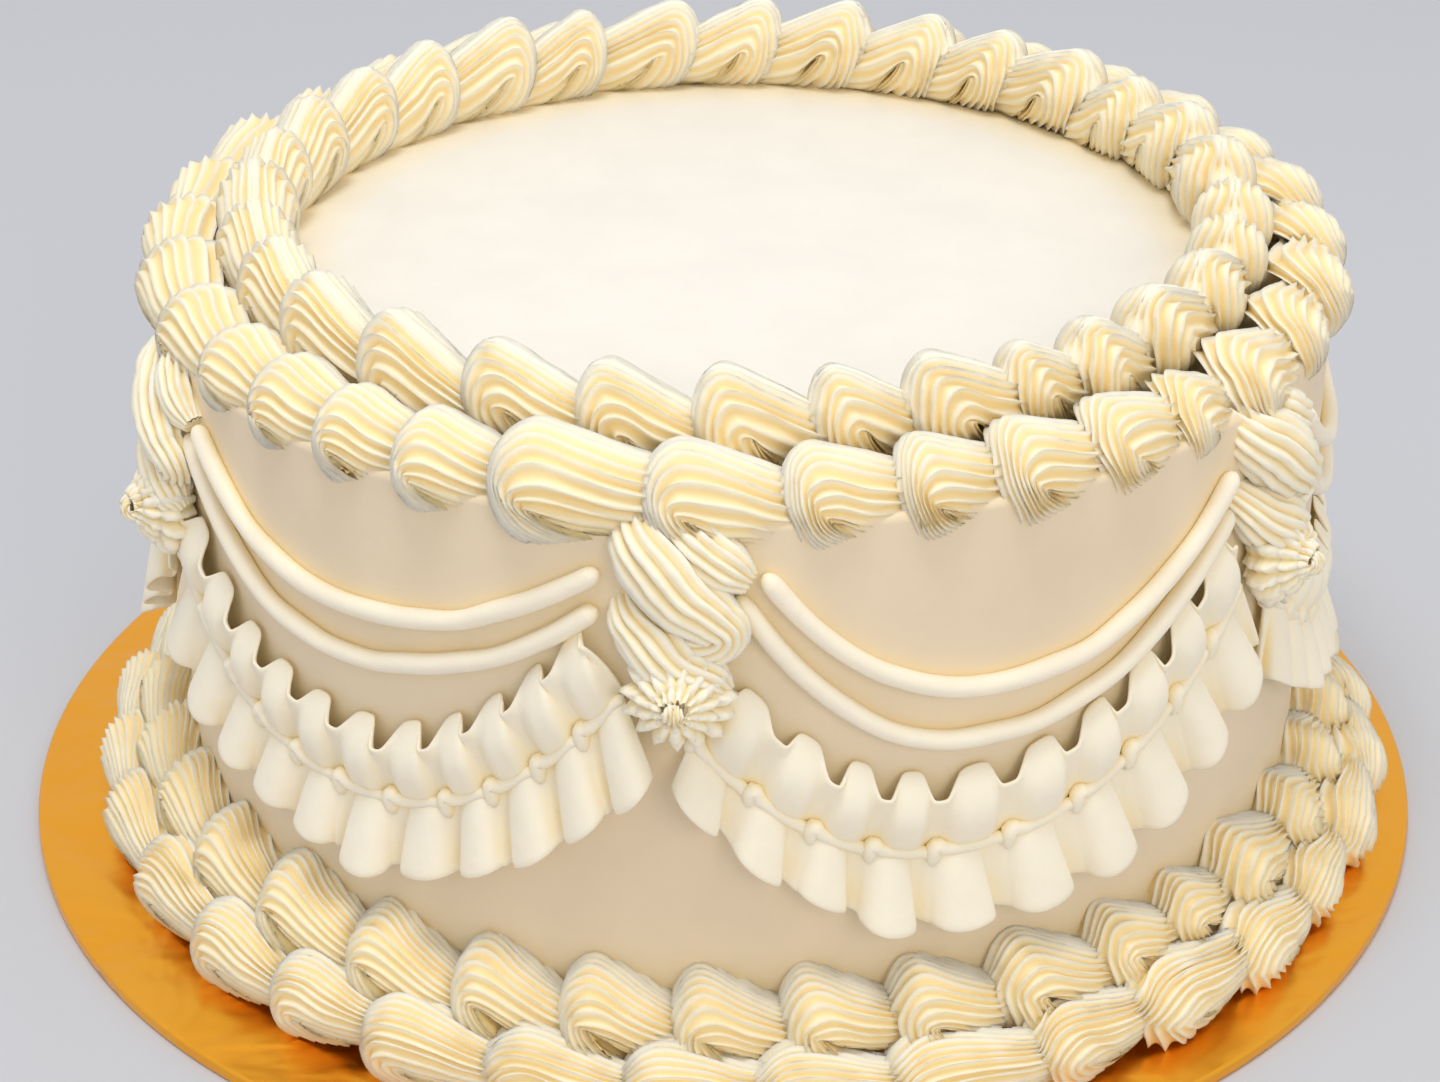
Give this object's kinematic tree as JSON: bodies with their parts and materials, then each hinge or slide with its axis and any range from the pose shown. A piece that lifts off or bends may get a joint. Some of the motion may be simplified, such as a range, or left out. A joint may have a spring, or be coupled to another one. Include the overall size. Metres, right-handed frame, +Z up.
{
  "type": "piped buttercream cake on a board",
  "caption": "Round one-tier buttercream cake with piped shell borders, rosette drops, string swags and ruffles, built together with its thin gold card board.",
  "frame": {"origin": "middle of the underside of the round cake board", "axes": "+Z up, -Y towards the front, where the camera of the picture stands, +X to the right of the front view"},
  "size_m": [0.3048, 0.3048, 0.1422],
  "materials": {
    "buttercream": "soft ivory buttercream, smooth on the cake and ridged where it is piped",
    "gold_card": "gold foil on card, glossy with fine scratches"
  },
  "bodies": {
    "root": {"cake_board": "gold_card", "cake_body": "buttercream", "top_inner_border": "buttercream", "top_outer_border": "buttercream", "base_upper_border": "buttercream", "base_lower_border": "buttercream", "drop_1": "buttercream", "drop_2": "buttercream", "drop_3": "buttercream", "drop_4": "buttercream", "drop_5": "buttercream", "drop_6": "buttercream", "string_upper_1": "buttercream", "string_upper_2": "buttercream", "string_upper_3": "buttercream", "string_upper_4": "buttercream", "string_upper_5": "buttercream", "string_upper_6": "buttercream", "string_lower_1": "buttercream", "string_lower_2": "buttercream", "string_lower_3": "buttercream", "string_lower_4": "buttercream", "string_lower_5": "buttercream", "string_lower_6": "buttercream", "frill_1": "buttercream", "frill_2": "buttercream", "frill_3": "buttercream", "frill_4": "buttercream", "frill_5": "buttercream", "frill_6": "buttercream", "flounce_1": "buttercream", "flounce_2": "buttercream", "flounce_3": "buttercream", "flounce_4": "buttercream", "flounce_5": "buttercream", "flounce_6": "buttercream"}
  },
  "joints": []
}
